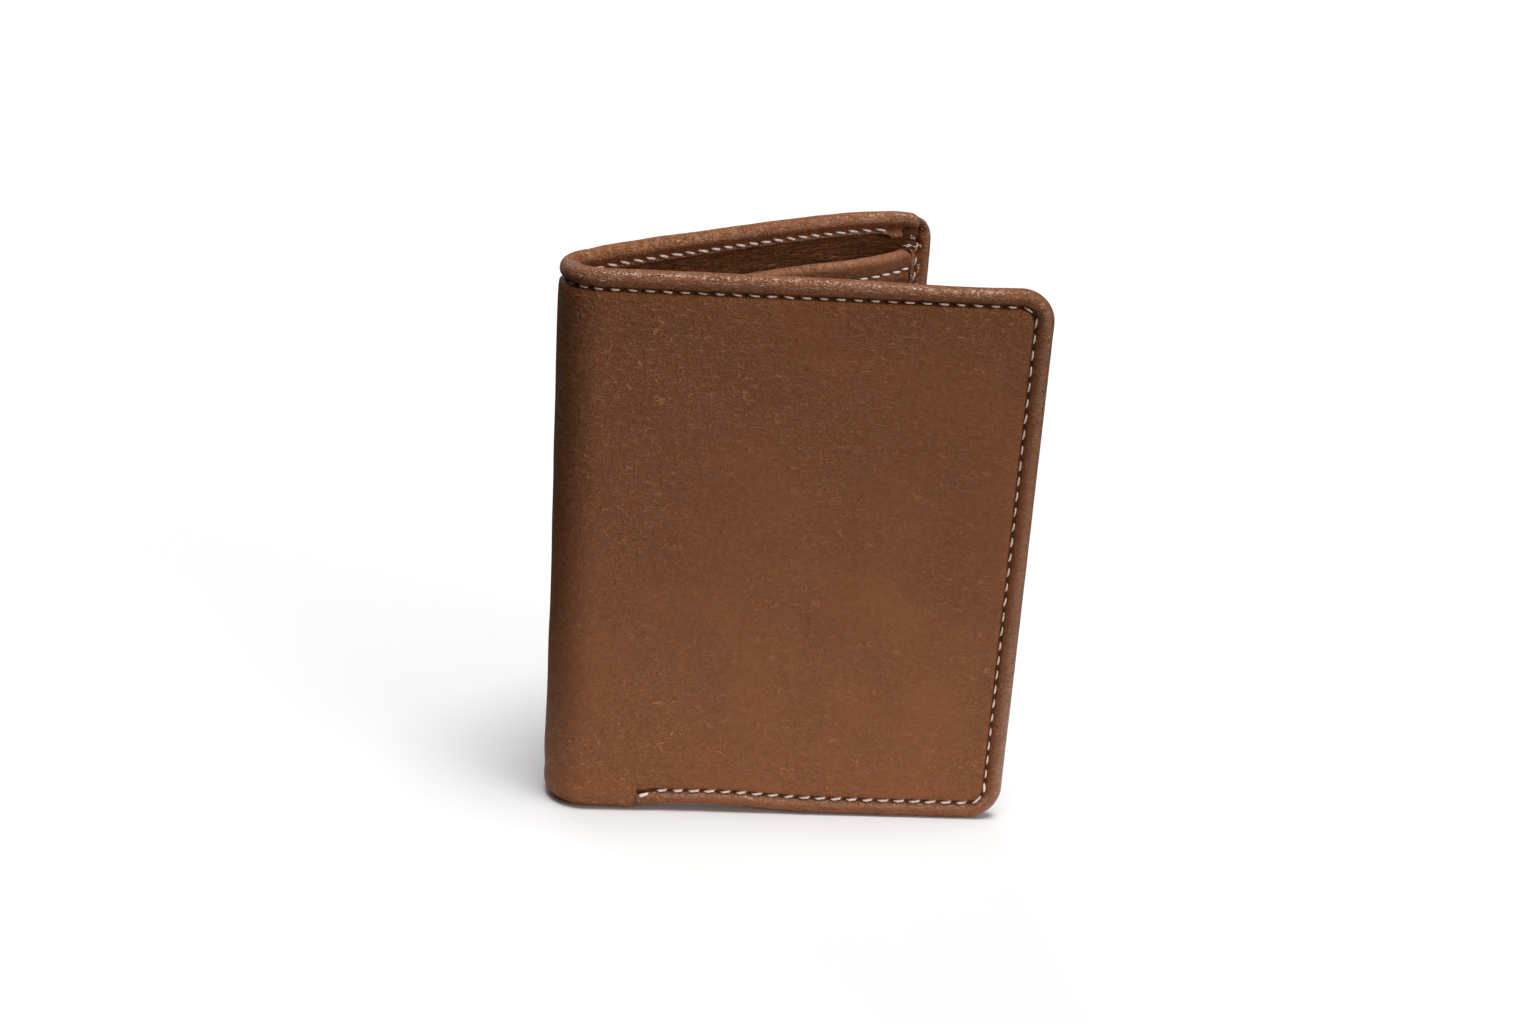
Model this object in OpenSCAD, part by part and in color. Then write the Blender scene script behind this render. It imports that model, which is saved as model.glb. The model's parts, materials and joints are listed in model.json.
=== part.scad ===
// Upright bifold wallet, standing part open on its bottom edge.
// Two leather halves meet at a soft spine. Each half is worked out flat, with u running from the
// spine to the free edge, v running inwards from the outer face, and z up. The rear half lies
// along X. The spine is three strips whose outer corners lie on one round bend.

/* [Covers] */
// Height of the wallet
wallet_h = 120; // [105:1:130]
// Flat width of each half, from the spine to the free edge
cover_w = 89; // [80:1:100]
// Radius of the two free corners
corner_r = 7.3; // [5:0.1:10]
// Angle between the two halves as it stands
open_angle = 31; // [10:1:60]

/* [Spine] */
// Outer radius of the spine bend
spine_r = 8.85; // [8.5:0.05:10]
// Gap left at each side of a fold line
fold_gap = 0.15; // [0.1:0.01:0.3]

/* [Leather] */
// Thickness of the outer leather
shell_t = 1.2; // [1:0.05:1.4]
// Thickness of the stiffening board
board_t = 0.5; // [0.3:0.05:0.6]
// Thickness of the lining
lining_t = 0.4; // [0.3:0.05:0.5]
// Thickness of the leather turned over the edge
turn_t = 1.0; // [0.8:0.05:1.1]
// Width of the turned edge
turn_w = 6; // [5:0.1:8]

/* [Bottom edge] */
// Distance from the spine to the step where the stitched hem starts
step_u = 10.5; // [6:0.5:16]
// Height of the stitched hem above the floor at that step
step_lift = 1.2; // [0.5:0.1:2.5]

/* [Inside] */
// Clear depth of the mouth of the note compartment
mouth_gap = 4.3; // [4.1:0.1:4.8]
// Drop from the top of the wallet to the top of the inner panel
panel_drop = 7.3; // [5:0.1:12]
// Thickness of the inner panel
panel_t = 0.6; // [0.4:0.05:0.8]
// Height of the facing folded over the top of the inner panel
facing_h = 8.5; // [7:0.5:12]
// Thickness of the facing
facing_t = 0.9; // [0.6:0.05:1]
// Thickness of each card pocket
pocket_t = 0.45; // [0.3:0.05:0.45]
// Distance between the mouths of neighbouring card pockets
pocket_step = 14; // [10:1:18]

/* [Stitches] */
// Distance from the edge to the stitch line
stitch_in = 4.5; // [3.5:0.1:5.5]
// Distance from one stitch to the next
stitch_pitch = 3.4; // [3:0.1:4]
// Length of one stitch on the face
stitch_l = 2.7; // [2:0.1:2.8]
// Width of the thread
thread_w = 0.7; // [0.5:0.05:0.8]
// Thickness of the thread
thread_h = 0.25; // [0.15:0.05:0.3]
// Width of the groove that the outer stitches lie in
groove_w = 1.3; // [0.9:0.05:1.6]

/* [Hidden] */
$fn = 96;
cut = 1; // overshoot of every cutting body

// Spine: two half turns at the covers and two full turns between the strips.
spine_turn = 180 - open_angle;
full_turn = spine_turn / 3;
half_turn = full_turn / 2;
strip_w = 2 * spine_r * sin(half_turn);
rear_start = 90;
front_start = rear_start + spine_turn;
// Half the turn at each fold when the wallet is shut, so the mitred ends meet and never cross.
cover_mitre = 15;
strip_mitre = 30;

// Depths of the layers, measured inwards from the outer face.
board_v = shell_t;
lining_v = board_v + board_t;
flange_v = lining_v + lining_t;
flange_t = 0.4;
turn_v = flange_v + flange_t;
hem_v = turn_v + turn_t;
rear_panel_v = hem_v + mouth_gap;
strip_turn_v = shell_t + lining_t + flange_t;
strip_hem_v = strip_turn_v + turn_t;

// Inner panel and pockets.
tuck = 1; // how far linings and boards stop short of the folded edge
groove_d = thread_h + 0.1; // the outer stitches lie just below the face
panel_top = wallet_h - panel_drop;
rear_panel_u = -2.4; // the rear panel reaches a little over the spine
front_panel_u = 1.5;
pocket_end = cover_w - turn_w - 1;
pocket_foot = turn_w + step_lift + 0.6;
pocket_h = 58; // a bank card on its long side, with room for the seam below
first_mouth = panel_top - facing_h - 6;
pockets = 3;

// The origin is under the middle of the standing wallet.
front_x = spine_r * cos(front_start);
front_y = spine_r * sin(front_start);
spine_x = spine_r * cos(rear_start + full_turn * 2);
mid_x = (cover_w + spine_x) / 2;
mid_y = (spine_r + front_y - cover_w * sin(open_angle)) / 2;

// Which piece to draw, or all of them

leather = [0.52, 0.32, 0.21];
dark = [0.30, 0.18, 0.12];
card = [0.45, 0.42, 0.38];
cotton = [0.86, 0.78, 0.72];

// ---- where the flat pieces go ----

module stand() {
    translate([-mid_x, -mid_y, 0]) children();
}

module on_rear() {
    stand() translate([0, spine_r, 0]) mirror([0, 1, 0]) children();
}

module on_front() {
    stand() translate([front_x, front_y, 0]) rotate([0, 0, -open_angle]) children();
}

// Strip 0 joins the rear half, strip 2 joins the front half.
module on_strip(k) {
    a = rear_start + k * full_turn;
    stand() translate([spine_r * cos(a), spine_r * sin(a), 0])
        rotate([0, 0, a + 90 + half_turn]) children();
}

// ---- flat shapes ----

// Stands a flat outline up and gives it depth from v0 to v1.
module slab(v0, v1) {
    translate([0, v1, 0]) rotate([90, 0, 0]) linear_extrude(v1 - v0) children();
}

module sheet(u0, u1, z0, z1, v0, v1) {
    translate([u0, v0, z0]) cube([u1 - u0, v1 - v0, z1 - z0]);
}

// Outline of a half, drawn in by the same amount at the top, the free edge and the bottom.
module outline(inset) {
    r = max(corner_r - inset, 0.8);
    u1 = cover_w - inset;
    z0 = inset;
    z1 = wallet_h - inset;
    difference() {
        union() {
            translate([0, z0]) square([u1 - r, z1 - z0]);
            translate([0, z0 + r]) square([u1, z1 - z0 - 2 * r]);
            for (z = [z0 + r, z1 - r])
                translate([u1 - r, z]) circle(r);
        }
        // The stitched hem rises off the floor at the step and comes back down at the corner.
        polygon([
            [step_u, z0 - cut], [step_u, z0 + step_lift],
            [u1 - r, z0], [u1 - r, z0 - cut]
        ]);
    }
}

// Cuts the slanted end beside a fold line at u = 0.
module mitre(angle) {
    translate([fold_gap, 0, -cut]) rotate([0, 0, -angle])
        translate([-20, -20, 0]) cube([20, 60, wallet_h + 2 * cut]);
}

// The line that the seam's groove follows on the outer face.
module seam_line() {
    difference() {
        outline(stitch_in - groove_w / 2);
        outline(stitch_in + groove_w / 2);
        translate([-cut, 0]) square([step_u + stitch_pitch / 2 + cut, wallet_h / 2]);
    }
}

// ---- pieces of a half ----

// Outer leather with its edges turned over on three sides.
module cover_shell() {
    difference() {
        union() {
            slab(0, shell_t) outline(0);
            slab(shell_t - 0.01, hem_v) difference() {
                outline(0);
                outline(turn_t);
            }
            slab(turn_v, hem_v) difference() {
                outline(0);
                outline(turn_w);
            }
        }
        slab(-cut, groove_d) seam_line();
        mitre(cover_mitre);
    }
}

module cover_board() {
    difference() {
        slab(board_v, lining_v) outline(turn_t + tuck);
        mitre(cover_mitre);
    }
}

// Lining, doubled over along the top where it tucks under the turned edge.
module cover_lining() {
    difference() {
        union() {
            slab(lining_v, flange_v) outline(turn_t + tuck);
            slab(flange_v - 0.01, turn_v) intersection() {
                outline(turn_t + tuck);
                translate([0, wallet_h - turn_w])
                    square([pocket_end, turn_w]);
            }
        }
        mitre(cover_mitre);
    }
}

// The seam flange of an inner panel, held under the turned edge at the free side and bottom.
module seam_flange() {
    slab(flange_v, turn_v) difference() {
        outline(turn_t + tuck);
        translate([-cut, pocket_foot])
            square([pocket_end + cut, wallet_h]);
        translate([-cut, panel_top])
            square([cover_w + 2 * cut, wallet_h]);
        square([step_u, wallet_h]);
    }
}

// Front wall of the note compartment: a flat panel whose side and bottom drop to the seam.
module deep_panel() {
    wall = flange_t;
    sheet(rear_panel_u, pocket_end + wall, pocket_foot - wall, panel_top,
        rear_panel_v, rear_panel_v + panel_t);
    sheet(pocket_end, pocket_end + wall, pocket_foot - wall, panel_top,
        flange_v, rear_panel_v + panel_t);
    sheet(step_u, pocket_end + wall, pocket_foot - wall, pocket_foot,
        flange_v, rear_panel_v + panel_t);
    seam_flange();
}

module flat_panel() {
    sheet(front_panel_u, pocket_end + cut, pocket_foot - cut, panel_top, flange_v, turn_v);
    seam_flange();
}

// Facing over the top of a panel that lies between depths v0 and v1.
module facing(u0, v0, v1) {
    sheet(u0, pocket_end - 0.1, panel_top - facing_h, panel_top, v1, v1 + facing_t);
    sheet(u0, pocket_end - 0.1, panel_top, panel_top + facing_t, v0, v1 + facing_t);
}

// One card pocket: k = 0 is the rearmost and has the highest mouth.
module pocket(u0, v0, k) {
    mouth = first_mouth - k * pocket_step;
    foot = k == pockets - 1 ? pocket_foot : max(mouth - pocket_h, pocket_foot);
    sheet(u0, pocket_end - 0.1, foot, mouth, v0 + k * pocket_t, v0 + (k + 1) * pocket_t);
}

// ---- thread ----

module stitch_along_u(u, v, z) {
    translate([u - stitch_l / 2, v, z - thread_w / 2]) cube([stitch_l, thread_h, thread_w]);
}

module stitch_along_z(u, v, z) {
    translate([u - thread_w / 2, v, z - stitch_l / 2]) cube([thread_w, thread_h, stitch_l]);
}

// How far the bottom hem is off the floor at u.
function hem_lift(u) =
    step_lift * (cover_w - corner_r - u) / (cover_w - corner_r - step_u);

// The edge seam as it shows on one face of a half.
module edge_seam(v) {
    run_u = cover_w - stitch_in - stitch_pitch;
    run_z = corner_r + stitch_l / 2;
    for (u = [stitch_pitch : stitch_pitch : run_u])
        stitch_along_u(u, v, wallet_h - stitch_in);
    for (z = [run_z : stitch_pitch : wallet_h - run_z])
        stitch_along_z(cover_w - stitch_in, v, z);
    for (u = [step_u + stitch_pitch : stitch_pitch : run_u])
        stitch_along_u(u, v, stitch_in + hem_lift(u));
}

module cover_thread() {
    edge_seam(groove_d - thread_h);
    edge_seam(hem_v);
}

module facing_thread(u0, v) {
    for (u = [u0 + stitch_pitch : stitch_pitch : pocket_end - stitch_pitch])
        stitch_along_u(u, v, panel_top - stitch_in);
}

// ---- pieces of a spine strip ----

module trimmed(first, last) {
    difference() {
        children();
        mitre(first);
        translate([strip_w, 0, 0]) mirror([1, 0, 0]) mitre(last);
    }
}

module strip_shell(first, last) {
    difference() {
        strip_body(first, last);
        strip_groove();
    }
}

module strip_body(first, last) {
    trimmed(first, last) union() {
        sheet(0, strip_w, 0, wallet_h, 0, shell_t);
        for (z = [0, wallet_h - turn_t])
            sheet(0, strip_w, z, z + turn_t, shell_t - 0.01, strip_hem_v);
        for (z = [0, wallet_h - turn_w])
            sheet(0, strip_w, z, z + turn_w, strip_turn_v, strip_hem_v);
    }
}

module strip_groove() {
    z = wallet_h - stitch_in;
    sheet(-cut, strip_w + cut, z - groove_w / 2, z + groove_w / 2, -cut, groove_d);
}

module strip_lining(first, last) {
    trimmed(first, last) union() {
        sheet(0, strip_w, turn_t, wallet_h - turn_t, shell_t, shell_t + lining_t);
        for (z = [turn_t, wallet_h - turn_w])
            sheet(0, strip_w, z, z + turn_w - turn_t, shell_t, strip_turn_v);
    }
}

module strip_thread() {
    for (u = [strip_w / 2 - stitch_pitch / 2, strip_w / 2 + stitch_pitch / 2])
        stitch_along_u(u, groove_d - thread_h, wallet_h - stitch_in);
    stitch_along_u(strip_w / 2, strip_hem_v, wallet_h - stitch_in);
}

// ---- named pieces ----

module rear_shell() color(leather) on_rear() cover_shell();
module rear_board() color(card) on_rear() cover_board();
module rear_lining() color(dark) on_rear() cover_lining();
module rear_thread() color(cotton) on_rear() cover_thread();
module rear_panel() color(dark) on_rear() deep_panel();
module rear_facing()
    color(leather) on_rear() facing(rear_panel_u, rear_panel_v, rear_panel_v + panel_t);
module rear_facing_thread()
    color(cotton) on_rear() facing_thread(rear_panel_u, rear_panel_v + panel_t + facing_t);
module rear_pocket(k)
    color(leather) on_rear() pocket(rear_panel_u, rear_panel_v + panel_t, k);
module rear_pocket_1() rear_pocket(0);
module rear_pocket_2() rear_pocket(1);
module rear_pocket_3() rear_pocket(2);

module spine_rear_shell() color(leather) on_strip(0) strip_shell(cover_mitre, strip_mitre);
module spine_rear_lining() color(dark) on_strip(0) strip_lining(cover_mitre, strip_mitre);
module spine_rear_thread() color(cotton) on_strip(0) strip_thread();
module spine_mid_shell() color(leather) on_strip(1) strip_shell(strip_mitre, strip_mitre);
module spine_mid_lining() color(dark) on_strip(1) strip_lining(strip_mitre, strip_mitre);
module spine_mid_thread() color(cotton) on_strip(1) strip_thread();
module spine_front_shell() color(leather) on_strip(2) strip_shell(strip_mitre, cover_mitre);
module spine_front_lining() color(dark) on_strip(2) strip_lining(strip_mitre, cover_mitre);
module spine_front_thread() color(cotton) on_strip(2) strip_thread();

module front_shell() color(leather) on_front() cover_shell();
module front_board() color(card) on_front() cover_board();
module front_lining() color(dark) on_front() cover_lining();
module front_thread() color(cotton) on_front() cover_thread();
module front_panel() color(dark) on_front() flat_panel();
module front_facing() color(leather) on_front() facing(front_panel_u, flange_v, turn_v);
module front_facing_thread()
    color(cotton) on_front() facing_thread(front_panel_u, turn_v + facing_t);
module front_pocket(k) color(leather) on_front() pocket(front_panel_u, turn_v, k);
module front_pocket_1() front_pocket(0);
module front_pocket_2() front_pocket(1);
module front_pocket_3() front_pocket(2);

rear_shell();
rear_board();
rear_lining();
rear_thread();
rear_panel();
rear_facing();
rear_facing_thread();
rear_pocket_1();
rear_pocket_2();
rear_pocket_3();
spine_rear_shell();
spine_rear_lining();
spine_rear_thread();
spine_mid_shell();
spine_mid_lining();
spine_mid_thread();
spine_front_shell();
spine_front_lining();
spine_front_thread();
front_shell();
front_board();
front_lining();
front_thread();
front_panel();
front_facing();
front_facing_thread();
front_pocket_1();
front_pocket_2();
front_pocket_3();
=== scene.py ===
"""Bifold wallet: leather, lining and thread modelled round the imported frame."""

import json
import math

import bpy
import numpy as np
from mathutils import Matrix, Vector

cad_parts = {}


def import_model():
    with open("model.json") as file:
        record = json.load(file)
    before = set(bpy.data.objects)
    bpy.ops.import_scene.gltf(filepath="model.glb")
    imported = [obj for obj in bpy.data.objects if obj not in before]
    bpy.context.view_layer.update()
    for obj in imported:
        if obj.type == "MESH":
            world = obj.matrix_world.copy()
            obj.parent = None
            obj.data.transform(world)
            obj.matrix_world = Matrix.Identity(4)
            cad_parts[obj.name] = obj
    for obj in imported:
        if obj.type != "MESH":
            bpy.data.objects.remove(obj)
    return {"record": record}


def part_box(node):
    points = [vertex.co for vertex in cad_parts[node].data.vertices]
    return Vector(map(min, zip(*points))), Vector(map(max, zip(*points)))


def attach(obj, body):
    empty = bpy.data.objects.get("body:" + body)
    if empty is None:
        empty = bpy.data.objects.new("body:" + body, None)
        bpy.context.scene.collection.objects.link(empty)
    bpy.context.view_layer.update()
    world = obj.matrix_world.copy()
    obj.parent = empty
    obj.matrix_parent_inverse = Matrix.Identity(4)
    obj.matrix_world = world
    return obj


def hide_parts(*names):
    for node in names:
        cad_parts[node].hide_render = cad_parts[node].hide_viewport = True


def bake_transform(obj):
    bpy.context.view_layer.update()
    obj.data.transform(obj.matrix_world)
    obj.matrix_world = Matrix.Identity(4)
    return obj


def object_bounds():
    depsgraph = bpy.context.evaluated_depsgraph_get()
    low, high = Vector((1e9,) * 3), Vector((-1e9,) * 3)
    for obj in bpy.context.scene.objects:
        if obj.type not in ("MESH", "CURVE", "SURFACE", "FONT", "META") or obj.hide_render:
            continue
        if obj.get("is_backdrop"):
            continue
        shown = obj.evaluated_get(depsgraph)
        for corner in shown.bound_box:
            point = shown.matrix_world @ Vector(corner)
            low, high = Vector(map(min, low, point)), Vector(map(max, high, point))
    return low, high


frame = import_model()
cad_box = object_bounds()
MM = 0.001

# ---------------------------------------------------------------------------
# The flat plan. The whole wallet is worked out unrolled, in millimetres:
# s runs from the rear free edge (negative) through the spine (0 to BEND) to
# the front free edge, z is height, and v is depth inwards from the outer face.
# ---------------------------------------------------------------------------
FOLDS = {
    j["name"]: np.array(j["pos_m"][:2]) / MM
    for j in frame["record"]["behaviour"]["joints"]
}
REAR_FOLD = FOLDS["rear_fold"]
FRONT_FOLD = FOLDS["front_fold"]

# Round the spine the outer face is an arc from one fold to the other, in line with
# the rear half where it starts.
_span = FRONT_FOLD - REAR_FOLD
BEND_R = -(_span @ _span) / (2 * _span[1])
CENTRE = REAR_FOLD - np.array([0.0, BEND_R])
_out = FRONT_FOLD - CENTRE
TURN = (math.atan2(_out[1], _out[0]) - math.pi / 2) % (2 * math.pi)
BEND = BEND_R * TURN
CUTS = [BEND / 6, BEND / 2, BEND * 5 / 6]

HEIGHT = cad_box[1][2] / MM
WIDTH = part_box("rear_shell")[1][0] / MM - REAR_FOLD[0]  # of one half
CORNER_R = 7.3  # outer corners
LOW, HIGH = -WIDTH + CORNER_R, BEND + WIDTH - CORNER_R  # s of the corners' centres

# The bowed rear half is a little narrower than the CAD's, and the front one wider.
REAR_TUCK = 0.98
FRONT_EASE = 1.0095

SEAM_D = 3.9  # from the edge to the stitches
STEP_U = 10.5  # from the bend to the step where the bottom edge becomes a sewn one
SEAM_START = STEP_U + 0.3
PITCH = 3.4  # from stitch to stitch
GRID = PITCH / 5

PANEL_TOP = HEIGHT - 7.3
PANEL_FOOT = 6.5
PANEL_END = 83.6  # from the bend to the panels' free ends
REAR_START, FRONT_START = -2.2, 1.6  # from the bend to where each panel begins
FACING_SEAM = 4.4  # from the panel's top to the facing's stitches
POCKET_STEP = 14.0  # from one pocket's mouth to the next
POCKET_DEPTH = 58.0
POCKETS = 3


def smooth(x, a, b):
    """0 at a, 1 at b, with a smooth change between them."""
    t = np.clip((np.asarray(x, float) - a) / (b - a), 0, 1)
    return t * t * (3 - 2 * t)


def bump_at(x, centre, width):
    """1 at the centre, falling away on both sides like a bell."""
    return np.exp(-(((np.asarray(x, float) - centre) / width) ** 2))


def rear_bow(s, z):
    """How far the rear half's leather bows outwards, most of all at the top."""
    u = -np.asarray(s, float)
    out = np.interp(
        u,
        [0, 4, 9, 14, 19, 29, 40, 50, 61, 71, 76, 81, 83, 86, 89],
        [0, 1.2, 1.9, 2.4, 3.0, 3.4, 4.3, 4.7, 5.0, 4.7, 3.8, 2.2, 0.8, -0.2, -0.9],
    )
    return out * (0.45 + 0.55 * smooth(z, 10, 105))


def place(s, z, v, bowed=True):
    """Unrolled millimetres to points in the frame, in metres."""
    s, z, v = np.broadcast_arrays(
        np.asarray(s, float), np.asarray(z, float), np.asarray(v, float)
    )
    if bowed:
        v = v - rear_bow(s, z)
    on_bend = np.clip(s, 0, BEND)
    angle = math.pi / 2 + on_bend / BEND_R
    over = (s - on_bend) * np.where(s < 0, REAR_TUCK, FRONT_EASE)
    x = CENTRE[0] + (BEND_R - v) * np.cos(angle) - over * np.sin(angle)
    y = CENTRE[1] + (BEND_R - v) * np.sin(angle) + over * np.cos(angle)
    return np.stack([x, y, z], -1) * MM


# ---------------------------------------------------------------------------
# Smooth seeded noise on the flat plan
# ---------------------------------------------------------------------------
class Noise:
    """Value noise on a grid that repeats far outside the wallet."""

    SIZE = 64

    def __init__(self, seed):
        self.grid = np.random.default_rng(seed).uniform(-1, 1, (self.SIZE, self.SIZE))

    def __call__(self, x, y):
        x, y = np.broadcast_arrays(np.asarray(x, float), np.asarray(y, float))
        i, j = np.floor(x).astype(int), np.floor(y).astype(int)
        fx, fy = x - i, y - j
        fx, fy = fx * fx * (3 - 2 * fx), fy * fy * (3 - 2 * fy)
        n = self.SIZE
        g = self.grid
        a = g[i % n, j % n] * (1 - fx) + g[(i + 1) % n, j % n] * fx
        b = g[i % n, (j + 1) % n] * (1 - fx) + g[(i + 1) % n, (j + 1) % n] * fx
        return a * (1 - fy) + b * fy


broad, medium, fine, ripple = Noise(3), Noise(5), Noise(7), Noise(11)


# ---------------------------------------------------------------------------
# Meshes
# ---------------------------------------------------------------------------
# Marks: scuffing with a painted highlight, creases, and painted shade in grooves and
# hollows.
MARKS = ("wear_and_sheen", "crease", "painted_shade")


def new_mesh(name, points, faces, flat, material, marks=None, normals=None):
    """points in metres; flat is the plan position of each point, in millimetres;
    marks say, from 0 to 1, where the leather is scuffed and has a painted highlight,
    where it is creased, and where it has painted shade."""
    mesh = bpy.data.meshes.new(name)
    mesh.from_pydata(points.tolist(), [], [list(f) for f in faces])
    mesh.polygons.foreach_set("use_smooth", np.ones(len(faces), bool))
    layer = mesh.attributes.new("flat", "FLOAT_VECTOR", "POINT")
    layer.data.foreach_set("vector", np.asarray(flat, np.float32).ravel())
    for mark in MARKS:
        values = (marks or {}).get(mark, np.zeros(len(points)))
        layer = mesh.attributes.new(mark, "FLOAT", "POINT")
        layer.data.foreach_set("value", np.asarray(values, np.float32))
    mesh.materials.append(material)
    if normals is not None:
        mesh.normals_split_custom_set_from_vertices(normals.tolist())
    mesh.update()
    obj = bpy.data.objects.new(name, mesh)
    bpy.context.scene.collection.objects.link(obj)
    return obj


def grid_faces(rows, cols, closed=False, start=0):
    """Quads of a grid whose point (i, j) is number i * cols + j."""
    i, j = np.meshgrid(
        np.arange(rows - 1), np.arange(cols if closed else cols - 1), indexing="ij"
    )
    k = (j + 1) % cols
    quads = np.stack(
        [i * cols + j, (i + 1) * cols + j, (i + 1) * cols + k, i * cols + k], -1
    )
    return quads.reshape(-1, 4) + start


def weld(flat, faces):
    """Joins points that share a plan position, and drops faces that collapse."""
    keys = np.round(flat * 2000).astype(np.int64)
    _, first, inverse = np.unique(
        keys, axis=0, return_index=True, return_inverse=True
    )
    inverse = inverse.reshape(-1)
    out = []
    for face in inverse[np.asarray(faces)]:
        ring = [p for n, p in enumerate(face) if p != face[n - 1]]
        if len(ring) > 2:
            out.append(ring)
    return first, out


def steps(a, b, size):
    """Even steps of about one size from a to b."""
    return np.linspace(a, b, max(2, int(round(abs(b - a) / size)) + 1))


def joined(*runs):
    """Runs of numbers end to end, each shared end kept once."""
    return np.concatenate([runs[0]] + [r[1:] for r in runs[1:]])


def point_normals(points, faces):
    """Smooth normals of the whole mesh, so that its pieces meet without a seam."""
    normals = np.zeros_like(points)
    for size in (3, 4):
        ring = np.array([f for f in faces if len(f) == size], int).reshape(-1, size)
        across = points[ring[:, 2]] - points[ring[:, 0]]
        other = points[ring[:, -1]] - points[ring[:, 1 if size == 4 else 0]]
        normal = np.cross(across, other)
        for corner in range(size):
            np.add.at(normals, ring[:, corner], normal)
    return normals / np.maximum(np.linalg.norm(normals, axis=1, keepdims=True), 1e-12)


# Each piece round the spine: its two bodies, and where one would hand over to the other.
BEND_PIECES = [
    ("rear", 0, 1, 0.0, CUTS[0]),
    ("spine_rear", 1, 2, CUTS[0], CUTS[1]),
    ("spine_front", 2, 3, CUTS[1], CUTS[2]),
    ("front", 3, 4, CUTS[2], BEND),
]
SPINE_NODES = {
    "rear": ["rear_{}"],
    "spine_rear": ["spine_rear_{}", "spine_mid_{}"],
    "spine_front": ["spine_front_{}"],
    "front": ["front_{}"],
}


def bending(noun, node, flat, points, faces, material, marks=None):
    """Cuts a sheet that runs round the spine into four pieces, each keeping the whole
    sheet's smooth normals, and hides the CAD nodes that each piece stands for."""
    middle = np.array([np.mean([flat[p, 0] for p in f]) for f in faces])
    normals = point_normals(points, faces)
    which = np.searchsorted(CUTS, middle)
    for number, (name, a, b, start, end) in enumerate(BEND_PIECES):
        mine = [faces[k] for k in np.flatnonzero(which == number)]
        used = np.unique(np.concatenate([np.asarray(f) for f in mine]))
        renumber = {p: k for k, p in enumerate(used)}
        piece = new_mesh(
            f"{name}_{noun}", points[used], [[renumber[p] for p in f] for f in mine],
            flat[used], material, {k: m[used] for k, m in (marks or {}).items()},
            normals[used],
        )
        place(start, HEIGHT / 2, 0.0)
        place(end, HEIGHT / 2, 0.0)
        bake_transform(piece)
        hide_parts(*[n.format(node) for n in SPINE_NODES[name]])


def slab_data(s, z, v_outer, v_inner):
    """Plan points and faces of a closed sheet over s by z, between two depths."""
    gs, gz = np.meshgrid(s, z, indexing="ij")
    outer, inner = v_outer(gs, gz), v_inner(gs, gz)
    rows, cols = gs.shape
    n = rows * cols
    flat = np.concatenate(
        [np.stack([gs, gz, outer], -1).reshape(-1, 3),
         np.stack([gs, gz, inner], -1).reshape(-1, 3)]
    )
    quads = grid_faces(rows, cols)
    index = np.arange(n).reshape(rows, cols)
    loop = np.concatenate(
        [index[0, :-1], index[:-1, -1], index[-1, :0:-1], index[:0:-1, 0]]
    )
    nxt = np.roll(loop, -1)
    rim = np.stack([loop, nxt, nxt + n, loop + n], -1)
    faces = np.concatenate([quads[:, ::-1], quads + n, rim[:, ::-1]])
    return flat, faces.tolist()


# ---------------------------------------------------------------------------
# Materials: every pattern is laid out on the flat plan, in millimetres
# ---------------------------------------------------------------------------
def linear(red, green, blue):
    """An sRGB colour, 0 to 255, as linear values."""
    out = []
    for c in (red, green, blue):
        c /= 255
        out.append(c / 12.92 if c <= 0.04045 else ((c + 0.055) / 1.055) ** 2.4)
    return (*out, 1.0)


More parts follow.
